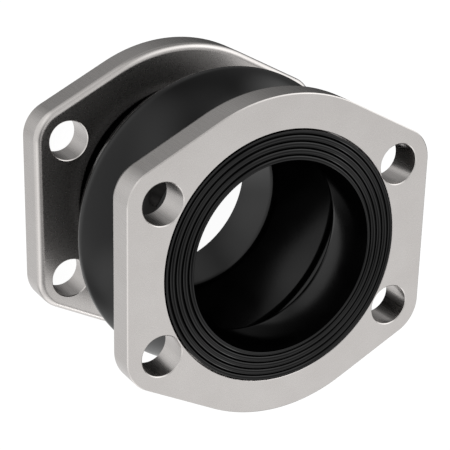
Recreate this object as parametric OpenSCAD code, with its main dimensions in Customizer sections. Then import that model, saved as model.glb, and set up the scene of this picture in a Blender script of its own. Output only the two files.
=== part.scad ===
// Flanged expansion joint: a moulded rubber bellows with one arch, gripped at each end
// in the counterbore of a loose four-bolt metal flange.
// +Z runs along the pipe axis, +X along the wider bolt spacing. The origin is the centre
// of the lower sealing lip, on which the joint stands.

/* [Joint] */
// Length over the two sealing lips
face_to_face = 100; // [90:1:120]
// Radius of the straight bore
bore_r = 40; // [38:0.5:41]
// Height of the sealing lip above the flange face
lip_proud = 0.3; // [0.1:0.1:1]

/* [Rubber bellows] */
// Thickness of the rubber in the necks
wall = 6.5; // [5:0.5:7]
// Thickness of the rubber at the top of the arch
crown_wall = 5; // [4:0.1:6.5]
// Height of the arch above the neck
arch_height = 18.5; // [12:0.5:20]
// Outer radius of the arch's crest
crest_round = 6.5; // [4:0.5:10]
// Slope of the arch's flanks where they leave the crest
crest_slope = 21; // [15:1:28]
// Radius of the arch's bulging flanks
flank_round = 52; // [45:1:70]
// Radius of the hollow where the arch runs into the neck
foot_round = 4.2; // [3:0.2:8]
// Inner radius of the arch's crest
inner_crest_round = 6.5; // [4:0.1:8]
// Rounding of the bore where it opens into the arch
inner_foot_round = 6.7; // [4:0.1:8]

/* [Sealing lip] */
// Width of the shoulder by which the lip stands out beyond the neck
lip_step = 5.7; // [4.5:0.1:6]
// Thickness of the lip along the axis
lip_t = 7.3; // [5:0.1:9]
// Rounding of the lip's outer edge
lip_edge_round = 0.9; // [0.4:0.1:1.2]
// Rounding of the lip's edge at the bore
bore_edge_round = 0.4; // [0.2:0.1:0.8]
// Number of sealing grooves
groove_count = 4; // [2:1:4]
// Distance from one groove to the next
groove_pitch = 2.75; // [2.4:0.05:2.9]
// Width of a groove at the face
groove_top_w = 1.3; // [0.8:0.1:1.6]
// Width of a groove at its bottom
groove_bottom_w = 0.6; // [0.3:0.1:0.8]
// Depth of a groove
groove_d = 1; // [0.5:0.1:1.5]

/* [Flanges] */
// Thickness of a flange
flange_t = 14; // [12:0.5:18]
// Radius of the flange's two long arcs
flange_r = 66.5; // [64:0.5:72]
// Radius of the rounded corner about each bolt hole
corner_r = 14.8; // [12:0.2:17]
// Rounding of the outer edge on the bellows side
back_round = 3; // [1:0.5:4]
// Small chamfer on the face side and at the rims
rim_chamfer = 0.4; // [0.2:0.1:0.8]
// Chamfer where the neck leaves the flange
throat_chamfer = 1; // [0.5:0.1:2]
// Gap round the neck inside the flange
neck_gap = 1.5; // [0.5:0.1:2]
// Gap round the lip inside the counterbore
lip_gap = 0.3; // [0.2:0.1:0.6]

/* [Bolt pattern] */
// Wider distance between bolt holes
bolt_x = 106.4; // [104:0.1:110]
// Narrower distance between bolt holes
bolt_y = 61.9; // [58:0.1:66]
// Radius of a bolt hole
bolt_r = 8.5; // [7:0.25:9]

/* [Hidden] */
$fn = 96;
over = 1;
arc_steps = 12;
rim_steps = 4;
foot_steps = 8;
back_steps = 6;
least_land = 0.1;

mid_z = face_to_face / 2;
neck_r = bore_r + wall;
crown_r = neck_r + arch_height;

// The lip is wider than its step asks for where its grooves need more room
groove_span = (groove_count - 1) * groove_pitch;
edge_w = max(lip_edge_round, bore_edge_round) + least_land;
lip_w = max(wall + lip_step, groove_span + groove_top_w + 2 * edge_w);
lip_r = bore_r + lip_w;
first_groove_r = bore_r + (lip_w - groove_span) / 2;

throat_r = neck_r + neck_gap;
seat_r = lip_r + lip_gap;
seat_d = lip_t - lip_proud;

// Centres of the arcs of the arch's upper half, and the slope at which flank meets foot
crest_centre_r = crown_r - crest_round;
flank_centre_r = crest_centre_r - (flank_round - crest_round) * cos(crest_slope);
flank_centre_z = mid_z - (flank_round - crest_round) * sin(crest_slope);
foot_centre_r = neck_r + foot_round;
foot_slope = acos((foot_centre_r - flank_centre_r) / (flank_round + foot_round));
foot_centre_z = flank_centre_z + (flank_round + foot_round) * sin(foot_slope);

// Centres of the arcs inside the arch's upper half, and the slope of the cone between them
inner_crest_r = crown_r - crown_wall - inner_crest_round;
inner_foot_r = bore_r + inner_foot_round;
inner_rise = foot_centre_z - mid_z;
inner_run = inner_crest_r - inner_foot_r;
inner_slope = atan2(inner_run, inner_rise)
    + asin((inner_crest_round + inner_foot_round) / norm([inner_run, inner_rise]));

// Points [r, z] of an arc about [centre_r, centre_z], from angle a to angle b
function arc(centre_r, centre_z, radius, a, b, steps) =
    [for (i = [0:steps]) let (t = a + (b - a) * i / steps)
        [centre_r + radius * cos(t), centre_z + radius * sin(t)]];

// The arch's outer skin from its crest up to the neck
function outer_half() =
    let (crest = arc(crest_centre_r, mid_z, crest_round, 0, crest_slope, rim_steps),
         flank = arc(flank_centre_r, flank_centre_z, flank_round, crest_slope, foot_slope,
                     arc_steps),
         foot = arc(foot_centre_r, foot_centre_z, foot_round, foot_slope + 180, 180,
                    foot_steps))
    concat(crest, [for (i = [1:arc_steps]) flank[i]], [for (i = [1:foot_steps]) foot[i]]);

// The arch's inner skin from its crest up to the bore: two arcs joined by a cone
function inner_half() =
    concat(arc(inner_crest_r, mid_z, inner_crest_round, 0, inner_slope, foot_steps),
           arc(inner_foot_r, foot_centre_z, inner_foot_round, inner_slope + 180, 180,
               foot_steps));

// One sealing groove, from its outer edge inwards
function groove(centre_r) =
    [[centre_r + groove_top_w / 2, face_to_face],
     [centre_r + groove_bottom_w / 2, face_to_face - groove_d],
     [centre_r - groove_bottom_w / 2, face_to_face - groove_d],
     [centre_r - groove_top_w / 2, face_to_face]];

// The ribbed face of the upper lip, from its outer edge in to the bore
function lip_face() =
    concat(arc(lip_r - lip_edge_round, face_to_face - lip_edge_round, lip_edge_round,
               0, 90, rim_steps),
           [for (i = [groove_count - 1:-1:0], p = groove(first_groove_r + i * groove_pitch)) p],
           arc(bore_r + bore_edge_round, face_to_face - bore_edge_round, bore_edge_round,
               90, 180, rim_steps));

function reversed(list) = [for (i = [len(list) - 1:-1:0]) list[i]];

function upper_half() =
    concat(outer_half(),
           [[neck_r, face_to_face - lip_t], [lip_r, face_to_face - lip_t]],
           lip_face(),
           reversed(inner_half()));

// The whole section: the upper half and its mirror image, without repeating the two
// points on the mirror plane
function bellows_section() =
    let (half = upper_half(), last = len(half) - 1)
    concat(half, [for (i = [last - 1:-1:1]) [half[i][0], face_to_face - half[i][1]]]);

module rubber_bellows() {
    color([0.08, 0.08, 0.085])
        rotate_extrude() polygon(bellows_section());
}

// A disc with a flange's rim: chamfered on the sealing face at z = 0 and rounded on
// the bellows side
module rim_disc(radius) {
    rotate_extrude()
        polygon(concat([[0, 0], [radius - rim_chamfer, 0], [radius, rim_chamfer]],
                       arc(radius - back_round, flange_t - back_round, back_round,
                           0, 90, back_steps),
                       [[0, flange_t]]));
}

// The plate before it is bored: one large disc and four corner discs inside one outline
module flange_blank() {
    hull() {
        rim_disc(flange_r);
        for (sx = [-1, 1], sy = [-1, 1])
            translate([sx * bolt_x / 2, sy * bolt_y / 2, 0]) rim_disc(corner_r);
    }
}

module bolt_hole() {
    translate([0, 0, -over]) cylinder(r = bolt_r, h = flange_t + 2 * over);
    translate([0, 0, -over])
        cylinder(r1 = bolt_r + rim_chamfer + over, r2 = bolt_r, h = rim_chamfer + over);
    translate([0, 0, flange_t - rim_chamfer])
        cylinder(r1 = bolt_r, r2 = bolt_r + rim_chamfer + over, h = rim_chamfer + over);
}

// A flange with its sealing face at z = 0 and the bellows above it
module flange() {
    difference() {
        flange_blank();
        for (sx = [-1, 1], sy = [-1, 1])
            translate([sx * bolt_x / 2, sy * bolt_y / 2, 0]) bolt_hole();
        translate([0, 0, -over]) cylinder(r = throat_r, h = flange_t + 2 * over);
        translate([0, 0, -over]) cylinder(r = seat_r, h = seat_d + over);
        translate([0, 0, flange_t - throat_chamfer])
            cylinder(r1 = throat_r, r2 = throat_r + throat_chamfer + over,
                     h = throat_chamfer + over);
    }
}

module rear_flange() {
    color([0.74, 0.73, 0.71]) translate([0, 0, lip_proud]) flange();
}

module front_flange() {
    color([0.74, 0.73, 0.71])
        translate([0, 0, face_to_face - lip_proud]) mirror([0, 0, 1]) flange();
}

rubber_bellows();
rear_flange();
front_flange();
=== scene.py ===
# A flanged expansion joint: a moulded rubber bellows with one arch, gripped at each end in the
# counterbore of a loose four-bolt metal flange. +Z is the pipe axis, and lengths are metres.
import math

import bmesh
import bpy
from mathutils import Matrix, Vector


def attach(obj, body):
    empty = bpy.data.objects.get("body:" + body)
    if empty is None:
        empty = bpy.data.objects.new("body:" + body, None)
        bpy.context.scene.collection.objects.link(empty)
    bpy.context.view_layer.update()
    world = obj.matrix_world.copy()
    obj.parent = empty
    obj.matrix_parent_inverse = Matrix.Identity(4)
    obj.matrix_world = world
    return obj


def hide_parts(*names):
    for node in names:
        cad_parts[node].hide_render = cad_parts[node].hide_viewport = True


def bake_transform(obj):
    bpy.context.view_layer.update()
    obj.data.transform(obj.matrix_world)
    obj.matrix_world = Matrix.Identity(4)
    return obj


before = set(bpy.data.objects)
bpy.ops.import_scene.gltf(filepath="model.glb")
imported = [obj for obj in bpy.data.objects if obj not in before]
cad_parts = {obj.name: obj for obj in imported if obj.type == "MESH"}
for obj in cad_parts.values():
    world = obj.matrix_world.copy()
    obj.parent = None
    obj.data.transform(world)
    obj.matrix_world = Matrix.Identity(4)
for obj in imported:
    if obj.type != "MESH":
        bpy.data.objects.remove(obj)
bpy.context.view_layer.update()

# Camera
# A long lens in front of the joint, above it and to its left, looks down through the front
# flange into the bore. The square picture takes in both flanges with a white margin.
camera_eye = Vector((-0.27729, 0.20970, 0.52961))
camera_aim = Vector((0.00208, -0.00367, 0.05))
camera_roll = math.radians(1.496)
camera_lens = 112.668
sensor_width = 36

camera_data = bpy.data.cameras.new("camera")
camera_data.lens = camera_lens
camera_data.sensor_width = sensor_width
camera = bpy.data.objects.new("camera", camera_data)
bpy.context.scene.collection.objects.link(camera)
back = (camera_eye - camera_aim).normalized()
right = Vector((-math.sin(camera_roll), math.cos(camera_roll), 0)).cross(back).normalized()
camera.matrix_world = Matrix((right, back.cross(right), back)).transposed().to_4x4()
camera.location = camera_eye
bpy.context.scene.camera = camera

# Studio
# A white room with a pale floor that the joint stands on, and two square lamps. What is glossy
# mirrors a dark room instead, with soft white boards, windows and walls at the directions named
# here: the turn round +Z and the height in degrees, how far each is full and reaches, its level.
room_light = 0.6
seen_room = 1
mirrored_room = 0.006
mirrored_lights = (
    ("left half of the room", 165, -8, 40, 75, 0.99),
    ("high left board", 242, 20, 24, 50, 0.80),
    ("top board", 99, 32, 15, 55, 0.46),
    ("board over the viewer", 30, 55, 10, 65, 0.49),
    ("board behind the viewer", 318, 46, 8, 23, 0.73),
    ("gap between the boards", 290, 48, 6, 24, 0.20),
    ("ceiling", 0, 90, 8, 28, 0.50),
    ("right window", 26, 8, 10, 40, 1.30),
    ("top right window", 60, 30, 5, 30, 0.74),
    ("low board", 270, 5, 8, 45, 0.72),
    ("low lamp", 278, 18, 2, 6, 2.6),
    ("low part of the floor", 270, -50, 8, 45, 0.86),
    ("right part of the floor", 60, -20, 10, 65, 0.28),
    ("top part of the floor", 90, -50, 5, 30, 0.17),
)
floor_size = 8
floor_albedo = 0.8
floor_glow = 0.95
floor_own_share = 0.16

bpy.context.scene.view_settings.view_transform = "Standard"
world = bpy.data.worlds.new("white room")
bpy.context.scene.world = world
world.use_nodes = True
nodes, links = world.node_tree.nodes, world.node_tree.links
room = nodes["Background"]
room.inputs["Color"].default_value = (1, 1, 1, 1)
path = nodes.new("ShaderNodeLightPath")
sight = nodes.new("ShaderNodeTexCoord")
level = mirrored_room
for name, turn, height, core, reach, gain in mirrored_lights:
    turn, height = math.radians(turn), math.radians(height)
    near = nodes.new("ShaderNodeVectorMath")
    near.label = name
    near.operation = "DOT_PRODUCT"
    near.inputs[1].default_value = (math.cos(height) * math.cos(turn),
                                    math.cos(height) * math.sin(turn), math.sin(height))
    links.new(sight.outputs["Generated"], near.inputs[0])
    glow = nodes.new("ShaderNodeMapRange")
    glow.interpolation_type = "SMOOTHSTEP"
    glow.inputs["From Min"].default_value = math.cos(math.radians(reach))
    glow.inputs["From Max"].default_value = math.cos(math.radians(core))
    glow.inputs["To Max"].default_value = gain
    links.new(near.outputs["Value"], glow.inputs["Value"])
    total = nodes.new("ShaderNodeMath")
    links.new(glow.outputs["Result"], total.inputs[0])
    if level is mirrored_room:
        total.inputs[1].default_value = mirrored_room
    else:
        links.new(level, total.inputs[1])
    level = total.outputs[0]
by_gloss = nodes.new("ShaderNodeMix")
by_gloss.inputs["A"].default_value = room_light
links.new(path.outputs["Is Glossy Ray"], by_gloss.inputs["Factor"])
links.new(level, by_gloss.inputs["B"])
seen = nodes.new("ShaderNodeMath")
seen.operation = "MAXIMUM"
links.new(path.outputs["Is Camera Ray"], seen.inputs[0])
links.new(path.outputs["Is Transmission Ray"], seen.inputs[1])
by_sight = nodes.new("ShaderNodeMix")
by_sight.inputs["B"].default_value = seen_room
links.new(seen.outputs[0], by_sight.inputs["Factor"])
links.new(by_gloss.outputs["Result"], by_sight.inputs["A"])
links.new(by_sight.outputs["Result"], room.inputs["Strength"])

bpy.ops.object.select_all(action="DESELECT")
bpy.ops.mesh.primitive_plane_add(size=floor_size)
floor = bpy.context.object
floor.name = "floor"
floor.visible_glossy = False
paint = bpy.data.materials.new("floor paint")
paint.use_nodes = True
nodes, links = paint.node_tree.nodes, paint.node_tree.links
nodes.clear()
out = nodes.new("ShaderNodeOutputMaterial")
path = nodes.new("ShaderNodeLightPath")
matte = nodes.new("ShaderNodeBsdfDiffuse")
matte.inputs["Color"].default_value = (floor_albedo,) * 3 + (1,)
glow = nodes.new("ShaderNodeEmission")
glow.inputs["Strength"].default_value = floor_glow
faint = nodes.new("ShaderNodeBsdfDiffuse")
faint.inputs["Color"].default_value = (floor_own_share,) * 3 + (1,)
seen_floor = nodes.new("ShaderNodeAddShader")
links.new(glow.outputs[0], seen_floor.inputs[0])
links.new(faint.outputs[0], seen_floor.inputs[1])
by_camera = nodes.new("ShaderNodeMixShader")
links.new(path.outputs["Is Camera Ray"], by_camera.inputs["Fac"])
links.new(matte.outputs[0], by_camera.inputs[1])
links.new(seen_floor.outputs[0], by_camera.inputs[2])
links.new(by_camera.outputs[0], out.inputs["Surface"])
floor.data.materials.append(paint)


def softbox(name, place, aim, size, radiance):
    """A square area lamp at a place, facing a point, with the given brightness of its face."""
    lamp = bpy.data.lights.new(name, "AREA")
    lamp.size = size
    lamp.energy = radiance * math.pi * size ** 2
    box = bpy.data.objects.new(name, lamp)
    bpy.context.scene.collection.objects.link(box)
    box.matrix_world = (Vector(place) - Vector(aim)).to_track_quat("Z", "Y").to_matrix().to_4x4()
    box.location = place
    box.visible_camera = False
    box.visible_glossy = False


softbox("key lamp", (-0.50, 0.30, 0.75), (0, 0, 0.05), 0.45, 1.6)
softbox("side lamp", (0.75, 0.24, 0.16), (0, 0, 0.06), 0.30, 1.5)

# Rubber bellows
# One moulding of black rubber: two plain necks, a single arch between them and a ribbed sealing
# lip at each end. Its mould was turned, so every form on it runs round the pipe axis.
mid_z = 0.050
half_length = 0.050
bore_r = 0.040
neck_r = 0.0465
crown_r = 0.065
crown_wall = 0.005
crest_round = 0.0065
crest_slope = math.radians(21)
flank_round = 0.052
foot_round = 0.0042
crest_centre_r = crown_r - crest_round
flank_centre_r = crest_centre_r - (flank_round - crest_round) * math.cos(crest_slope)
flank_centre_z = -(flank_round - crest_round) * math.sin(crest_slope)
foot_centre_r = neck_r + foot_round
foot_slope = math.acos((foot_centre_r - flank_centre_r) / (flank_round + foot_round))
foot_centre_z = flank_centre_z + (flank_round + foot_round) * math.sin(foot_slope)
inner_crest_round = 0.0065
inner_foot_round = 0.0067
inner_crest_r = crown_r - crown_wall - inner_crest_round
inner_foot_r = bore_r + inner_foot_round
inner_foot_z = 0.0264
inner_slope = (math.atan2(inner_crest_r - inner_foot_r, inner_foot_z)
               + math.asin((inner_crest_round + inner_foot_round)
                           / math.hypot(inner_crest_r - inner_foot_r, inner_foot_z)))
lip_r = 0.0520
lip_t = 0.0073
lip_edge_round = 0.0003
bore_edge_round = 0.0004
first_groove_r = 0.041975
groove_pitch = 0.00275
groove_count = 4
rib_round = 0.00142
rib_half_turn = math.asin(groove_pitch / 2 / rib_round)
crest_steps = 8
flank_steps = 18
foot_steps = 10
inner_steps = 14
rib_half_steps = 6
lip_edge_steps = 6
bore_edge_steps = 4
round_steps = 192
weld = 1e-6
crease = math.radians(32)


def start_line(name, x, y, z):
    """Starts a drawn line as a new object of one point, and leaves it in edit mode."""
    bpy.ops.object.select_all(action="DESELECT")
    bpy.ops.mesh.primitive_plane_add(size=0.001, location=(x, y, z))
    piece = bpy.context.object
    piece.name = name
    piece.data.name = name
    bpy.ops.object.transform_apply(location=True, rotation=False, scale=False)
    bpy.ops.object.mode_set(mode="EDIT")
    bpy.ops.mesh.select_mode(type="VERT")
    bpy.ops.mesh.select_all(action="SELECT")
    bpy.ops.mesh.merge(type="CENTER")
    return piece


def line_to(x, y, z):
    """Draws on from the selected point to another in a straight line."""
    mesh = bmesh.from_edit_mesh(bpy.context.object.data)
    tip = next(v.co for v in mesh.verts if v.select)
    bpy.ops.mesh.extrude_vertices_move(
        TRANSFORM_OT_translate={"value": (x - tip.x, y - tip.y, z - tip.z)})


def arc_about(centre, axis, angle, steps):
    """Draws on from the selected point in an arc, turning as a right-hand screw goes."""
    bpy.ops.mesh.spin(steps=steps, angle=-angle, center=centre, axis=axis)


def turn_round(centre=(0, 0, 0)):
    """Turns the drawn section round an upright axis into a closed skin, and leaves edit mode."""
    bpy.ops.mesh.select_all(action="SELECT")
    bpy.ops.mesh.spin(steps=round_steps, angle=2 * math.pi, center=centre, axis=(0, 0, 1))
    bpy.ops.mesh.select_all(action="SELECT")
    bpy.ops.mesh.remove_doubles(threshold=weld)
    bpy.ops.mesh.normals_make_consistent(inside=False)
    bpy.ops.object.mode_set(mode="OBJECT")


toward_z = (0, -1, 0)
from_z = (0, 1, 0)
crest_centre = (crest_centre_r, 0, 0)
flank_centre = (flank_centre_r, 0, flank_centre_z)
foot_centre = (foot_centre_r, 0, foot_centre_z)
bellows = start_line("rubber_bellows_moulding", crown_r, 0, 0)
arc_about(crest_centre, toward_z, crest_slope, crest_steps)
arc_about(flank_centre, toward_z, foot_slope - crest_slope, flank_steps)
arc_about(foot_centre, from_z, foot_slope, foot_steps)
line_to(neck_r, 0, half_length - lip_t)
line_to(lip_r, 0, half_length - lip_t)
line_to(lip_r, 0, half_length - lip_edge_round)
arc_about((lip_r - lip_edge_round, 0, half_length - lip_edge_round), toward_z, math.pi / 2,
          lip_edge_steps)
line_to(first_groove_r + (groove_count - 0.5) * groove_pitch, 0, half_length)
for i in reversed(range(groove_count + 1)):
    rib_r = first_groove_r + (i - 0.5) * groove_pitch
    halves = 2 if 0 < i < groove_count else 1
    arc_about((rib_r, 0, half_length - rib_round), toward_z, halves * rib_half_turn,
              halves * rib_half_steps)
line_to(bore_r + bore_edge_round, 0, half_length)
arc_about((bore_r + bore_edge_round, 0, half_length - bore_edge_round), toward_z, math.pi / 2,
          bore_edge_steps)
line_to(bore_r, 0, inner_foot_z)
arc_about((inner_foot_r, 0, inner_foot_z), toward_z, inner_slope, inner_steps)
line_to(inner_crest_r + inner_crest_round * math.cos(inner_slope), 0,
        inner_crest_round * math.sin(inner_slope))
arc_about((inner_crest_r, 0, 0), from_z, inner_slope, inner_steps)
turn_round()
mirror = bellows.modifiers.new("other half", "MIRROR")
mirror.use_axis = (False, False, True)
mirror.merge_threshold = weld
bpy.ops.object.modifier_apply(modifier=mirror.name)
bpy.ops.object.mode_set(mode="EDIT")
bpy.ops.mesh.select_all(action="SELECT")
bpy.ops.mesh.remove_doubles(threshold=weld)
bpy.ops.mesh.normals_make_consistent(inside=False)
bpy.ops.transform.translate(value=(0, 0, mid_z))
bpy.ops.object.mode_set(mode="OBJECT")
bpy.ops.object.shade_smooth_by_angle(angle=crease)

rubber_low = (0.0005, 0.0005, 0.0006)
rubber_high = (0.0017, 0.0017, 0.0018)
rubber_specular = 0.31
skin_roughness = (0.13, 0.17)
lip_roughness = (0.08, 0.11)
rubber_grain = {"Fine_Scale": 2600, "Broad_Scale": 70}
grain_depth = 2.5e-6
ring_scale = 2200
ring_depth = 8e-6
lip_from = 0.0485
lip_full = 0.0490
noise_span = (0.3, 0.7)

surface = bpy.data.node_groups.new("fine and broad grain", "ShaderNodeTree")
for name, kind in (("Place", "NodeSocketVector"), ("Fine Scale", "NodeSocketFloat"),
                   ("Broad Scale", "NodeSocketFloat")):
    surface.interface.new_socket(name=name, in_out="INPUT", socket_type=kind)
for name in ("Fine", "Broad"):
    surface.interface.new_socket(name=name, in_out="OUTPUT", socket_type="NodeSocketFloat")
nodes, links = surface.nodes, surface.links
taken, given = nodes.new("NodeGroupInput"), nodes.new("NodeGroupOutput")
for name, detail, harshness in (("Fine", 3, 0.65), ("Broad", 4, 0.5)):
    noise = nodes.new("ShaderNodeTexNoise")
    noise.inputs["Detail"].default_value = detail
    noise.inputs["Roughness"].default_value = harshness
    links.new(taken.outputs["Place"], noise.inputs["Vector"])
    links.new(taken.outputs[name + " Scale"], noise.inputs["Scale"])
    links.new(noise.outputs["Fac"], given.inputs[name])

rings = bpy.data.node_groups.new("turned rings", "ShaderNodeTree")
for name, kind in (("Place", "NodeSocketVector"), ("Scale", "NodeSocketFloat")):
    rings.interface.new_socket(name=name, in_out="INPUT", socket_type=kind)
rings.interface.new_socket(name="Height", in_out="OUTPUT", socket_type="NodeSocketFloat")
nodes, links = rings.nodes, rings.links
taken, given = nodes.new("NodeGroupInput"), nodes.new("NodeGroupOutput")
flat = nodes.new("ShaderNodeVectorMath")
flat.operation = "MULTIPLY"
flat.inputs[1].default_value = (1, 1, 0)
links.new(taken.outputs["Place"], flat.inputs[0])
radius = nodes.new("ShaderNodeVectorMath")
radius.operation = "LENGTH"
links.new(flat.outputs[0], radius.inputs[0])
axes = nodes.new("ShaderNodeSeparateXYZ")
links.new(taken.outputs["Place"], axes.inputs[0])
track = nodes.new("ShaderNodeCombineXYZ")
links.new(radius.outputs["Value"], track.inputs["X"])
links.new(axes.outputs["Z"], track.inputs["Y"])
ring = nodes.new("ShaderNodeTexNoise")
ring.inputs["Detail"].default_value = 2
links.new(track.outputs[0], ring.inputs["Vector"])
links.new(taken.outputs["Scale"], ring.inputs["Scale"])
links.new(ring.outputs["Fac"], given.inputs["Height"])


def place_group(tree, group, **values):
    """Places a shader group in a material, reading Object coordinates, with its own values."""
    node = tree.nodes.new("ShaderNodeGroup")
    node.node_tree = group
    place = tree.nodes.new("ShaderNodeTexCoord")
    tree.links.new(place.outputs["Object"], node.inputs["Place"])
    for name, value in values.items():
        node.inputs[name.replace("_", " ")].default_value = value
    return node


def shades(tree, value, low, high):
    """Turns a noise's value into a run between two greys or colours."""
    run = tree.nodes.new("ShaderNodeValToRGB")
    tree.links.new(value, run.inputs["Fac"])
    for stop, position, tone in zip(run.color_ramp.elements, noise_span, (low, high)):
        stop.position = position
        stop.color = (tone if isinstance(tone, tuple) else (tone,) * 3) + (1,)
    return run.outputs["Color"]


def raise_skin(tree, height, depth, under=None):
    """Raises a skin by a height from 0 to 1 times a depth, over another bump if one is given."""
    bump = tree.nodes.new("ShaderNodeBump")
    bump.inputs["Distance"].default_value = depth
    tree.links.new(height, bump.inputs["Height"])
    if under:
        tree.links.new(under, bump.inputs["Normal"])
    return bump.outputs["Normal"]


rubber = bpy.data.materials.new("moulded rubber")
rubber.use_nodes = True
tree = rubber.node_tree
nodes, links = tree.nodes, tree.links
skin = nodes["Principled BSDF"]
skin.inputs["Specular IOR Level"].default_value = rubber_specular
grain = place_group(tree, surface, **rubber_grain)
turned = place_group(tree, rings, Scale=ring_scale)
place = nodes.new("ShaderNodeTexCoord")
axes = nodes.new("ShaderNodeSeparateXYZ")
links.new(place.outputs["Object"], axes.inputs[0])
above_mid = nodes.new("ShaderNodeMath")
above_mid.operation = "SUBTRACT"
above_mid.inputs[1].default_value = mid_z
links.new(axes.outputs["Z"], above_mid.inputs[0])
from_mid = nodes.new("ShaderNodeMath")
from_mid.operation = "ABSOLUTE"
links.new(above_mid.outputs[0], from_mid.inputs[0])
on_lip = nodes.new("ShaderNodeMapRange")
on_lip.inputs["From Min"].default_value = lip_from
on_lip.inputs["From Max"].default_value = lip_full
links.new(from_mid.outputs[0], on_lip.inputs["Value"])
turned_on_lip = nodes.new("ShaderNodeMath")
turned_on_lip.operation = "MULTIPLY"
links.new(turned.outputs["Height"], turned_on_lip.inputs[0])
links.new(on_lip.outputs["Result"], turned_on_lip.inputs[1])
gloss = nodes.new("ShaderNodeMix")
links.new(on_lip.outputs["Result"], gloss.inputs["Factor"])
links.new(shades(tree, grain.outputs["Broad"], *skin_roughness), gloss.inputs["A"])
links.new(shades(tree, grain.outputs["Broad"], *lip_roughness), gloss.inputs["B"])
links.new(shades(tree, grain.outputs["Broad"], rubber_low, rubber_high),
          skin.inputs["Base Color"])
links.new(gloss.outputs["Result"], skin.inputs["Roughness"])
fine = raise_skin(tree, grain.outputs["Fine"], grain_depth)
links.new(raise_skin(tree, turned_on_lip.outputs[0], ring_depth, fine), skin.inputs["Normal"])
bellows.data.materials.append(rubber)
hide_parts("rubber_bellows")
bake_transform(bellows)

# Rear flange
# A loose steel plate with four bolt holes, milled to its outline and bored for the neck, with a
# counterbore that grips the sealing lip. Its outer edge on the bellows side is rounded, and its
# other edges are only broken.
lip_proud = 0.0003
flange_t = 0.014
flange_r = 0.0665
corner_r = 0.0148
bolt_x = 0.0532
bolt_y = 0.03095
bolt_r = 0.0085
throat_r = 0.048
throat_chamfer = 0.001
seat_r = 0.0525
seat_d = 0.007
back_round = 0.003
edge_chamfer = 0.0004
hole_chamfer = 0.00035
seat_chamfer = 0.0002
over = 0.002
outline_steps = 24
back_steps = 10
least_gap = 1e-5
bolt_far = math.hypot(bolt_x, bolt_y)
side_angle = math.atan2(bolt_y, bolt_x) + math.acos((flange_r - corner_r) / bolt_far)
face_z = lip_proud
rear_back_z = face_z + flange_t


def pick_edges(test):
    """Selects the edges, of the piece in edit mode, that have both ends pass a test."""
    bpy.ops.mesh.select_all(action="DESELECT")
    bpy.ops.mesh.select_mode(type="EDGE")
    mesh = bmesh.from_edit_mesh(bpy.context.object.data)
    for edge in mesh.edges:
        if all(test(end.co) for end in edge.verts):
            edge.select_set(True)
    mesh.select_flush_mode()
    bmesh.update_edit_mesh(bpy.context.object.data)


rear_flange = start_line("rear_flange_plate", bolt_x + corner_r, 0, face_z)
line_to(bolt_x + corner_r, bolt_y, face_z)
arc_about((bolt_x, bolt_y, face_z), (0, 0, 1), side_angle, outline_steps)
line_to(flange_r * math.cos(side_angle), flange_r * math.sin(side_angle), face_z)
arc_about((0, 0, face_z), (0, 0, 1), math.pi / 2 - side_angle, outline_steps)
for flip in ((-1, 1, 1), (1, -1, 1)):
    bpy.ops.mesh.select_all(action="SELECT")
    bpy.ops.mesh.duplicate()
    bpy.ops.transform.resize(value=flip, center_override=(0, 0, 0))
    bpy.ops.mesh.select_all(action="SELECT")
    bpy.ops.mesh.remove_doubles(threshold=weld)
bpy.ops.mesh.edge_face_add()
bpy.ops.mesh.extrude_region_move(TRANSFORM_OT_translate={"value": (0, 0, flange_t)})
bpy.ops.mesh.select_all(action="SELECT")
bpy.ops.mesh.normals_make_consistent(inside=False)
pick_edges(lambda co: co.z > rear_back_z - least_gap)
bpy.ops.mesh.bevel(offset=back_round, segments=back_steps, affect="EDGES", clamp_overlap=False)
pick_edges(lambda co: co.z < face_z + least_gap)
bpy.ops.mesh.bevel(offset=edge_chamfer, segments=1, affect="EDGES", clamp_overlap=False)
bpy.ops.object.mode_set(mode="OBJECT")

hole_places = [(-bolt_x, -bolt_y), (bolt_x, -bolt_y), (-bolt_x, bolt_y), (bolt_x, bolt_y)]
cutters = [start_line("seat_cutter", 0, 0, face_z - over)]
line_to(seat_r, 0, face_z - over)
line_to(seat_r, 0, face_z + seat_d)
line_to(throat_r, 0, face_z + seat_d)
line_to(throat_r, 0, rear_back_z + over)
line_to(0, 0, rear_back_z + over)
turn_round()
for x, y in hole_places:
    cutters.append(start_line("hole_cutter", x, y, face_z - over))
    line_to(x + bolt_r, y, face_z - over)
    line_to(x + bolt_r, y, rear_back_z + over)
    line_to(x, y, rear_back_z + over)
    turn_round((x, y, 0))
bpy.ops.object.select_all(action="DESELECT")
for cutter in cutters:
    cutter.select_set(True)
bpy.context.view_layer.objects.active = cutters[0]
bpy.ops.object.join()
boring = rear_flange.modifiers.new("boring", "BOOLEAN")
boring.operation = "DIFFERENCE"
boring.solver = "EXACT"
boring.object = cutters[0]
bpy.ops.object.select_all(action="DESELECT")
bpy.context.view_layer.objects.active = rear_flange
bpy.ops.object.modifier_apply(modifier=boring.name)
bpy.data.meshes.remove(cutters[0].data)


def break_edge(x, y, radius, z, width):
    """Chamfers the rim of a bore of the plate in edit mode."""
    pick_edges(lambda co: abs(co.z - z) < least_gap
               and abs(math.hypot(co.x - x, co.y - y) - radius) < least_gap)
    bpy.ops.mesh.bevel(offset=width, segments=1, affect="EDGES", clamp_overlap=False)


bpy.ops.object.mode_set(mode="EDIT")
for x, y in hole_places:
    break_edge(x, y, bolt_r, face_z, hole_chamfer)
    break_edge(x, y, bolt_r, rear_back_z, hole_chamfer)
break_edge(0, 0, seat_r, face_z, seat_chamfer)
break_edge(0, 0, throat_r, rear_back_z, throat_chamfer)
bpy.ops.object.mode_set(mode="OBJECT")

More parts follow.
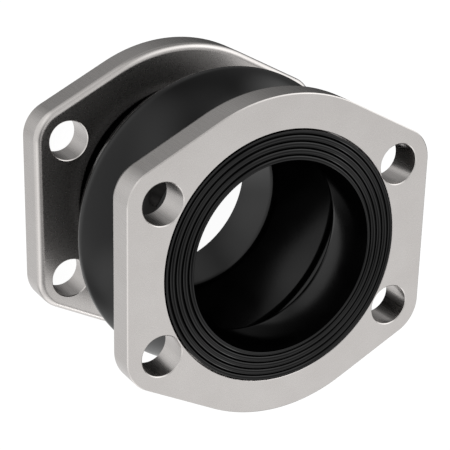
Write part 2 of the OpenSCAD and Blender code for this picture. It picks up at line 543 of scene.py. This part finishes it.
steel_low = (0.566, 0.540, 0.524)
steel_high = (0.610, 0.586, 0.570)
steel_roughness = (0.26, 0.30)
steel_grain = {"Fine_Scale": 1300, "Broad_Scale": 95}
mark_scale = 1900
mark_along = 0.03
mark_share = 0.45
mark_depth = 2e-6
steel = bpy.data.materials.new("milled steel")
steel.use_nodes = True
tree = steel.node_tree
nodes, links = tree.nodes, tree.links
metal = nodes["Principled BSDF"]
metal.inputs["Metallic"].default_value = 1
grain = place_group(tree, surface, **steel_grain)
place = nodes.new("ShaderNodeTexCoord")
stroke = nodes.new("ShaderNodeMapping")
stroke.inputs["Scale"].default_value = (1, 1, mark_along)
links.new(place.outputs["Object"], stroke.inputs["Vector"])
mill = nodes.new("ShaderNodeTexNoise")
mill.inputs["Scale"].default_value = mark_scale
mill.inputs["Detail"].default_value = 2
links.new(stroke.outputs[0], mill.inputs["Vector"])
facing = nodes.new("ShaderNodeSeparateXYZ")
links.new(place.outputs["Normal"], facing.inputs[0])
flatness = nodes.new("ShaderNodeMath")
flatness.operation = "ABSOLUTE"
links.new(facing.outputs["Z"], flatness.inputs[0])
marks = nodes.new("ShaderNodeMix")
links.new(flatness.outputs[0], marks.inputs["Factor"])
links.new(mill.outputs["Fac"], marks.inputs["A"])
links.new(grain.outputs["Fine"], marks.inputs["B"])
mottle = nodes.new("ShaderNodeMix")
mottle.inputs["Factor"].default_value = mark_share
links.new(grain.outputs["Broad"], mottle.inputs["A"])
links.new(marks.outputs["Result"], mottle.inputs["B"])
links.new(shades(tree, mottle.outputs["Result"], steel_low, steel_high),
          metal.inputs["Base Color"])
links.new(shades(tree, marks.outputs["Result"], *steel_roughness), metal.inputs["Roughness"])
links.new(raise_skin(tree, marks.outputs["Result"], mark_depth), metal.inputs["Normal"])


def finish_plate(plate, body):
    """Evens a plate's shading, gives it its steel and lets it ride on its body."""
    bpy.ops.object.select_all(action="DESELECT")
    plate.select_set(True)
    bpy.context.view_layer.objects.active = plate
    bpy.ops.object.mode_set(mode="EDIT")
    bpy.ops.mesh.select_all(action="SELECT")
    bpy.ops.mesh.remove_doubles(threshold=weld)
    bpy.ops.mesh.normals_make_consistent(inside=False)
    bpy.ops.object.mode_set(mode="OBJECT")
    bpy.ops.object.shade_smooth_by_angle(angle=crease)
    even = plate.modifiers.new("even faces", "WEIGHTED_NORMAL")
    even.keep_sharp = True
    bpy.ops.object.modifier_apply(modifier=even.name)
    plate.data.materials.append(steel)
    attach(plate, body)
    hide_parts(body)


front_mesh = rear_flange.data.copy()
finish_plate(rear_flange, "rear_flange")

# Front flange
# The same steel plate, turned over so that its counterbore faces the viewer and grips the other
# lip. It is made and bored as the rear one, and moves with the front end of the bellows.
front_mesh.name = "front_flange_plate"
front_flange = bpy.data.objects.new("front_flange_plate", front_mesh)
bpy.context.scene.collection.objects.link(front_flange)
bpy.ops.object.select_all(action="DESELECT")
front_flange.select_set(True)
bpy.context.view_layer.objects.active = front_flange
bpy.ops.object.mode_set(mode="EDIT")
bpy.ops.mesh.select_all(action="SELECT")
bpy.ops.transform.resize(value=(1, 1, -1), center_override=(0, 0, mid_z))
bpy.ops.object.mode_set(mode="OBJECT")
finish_plate(front_flange, "front_flange")
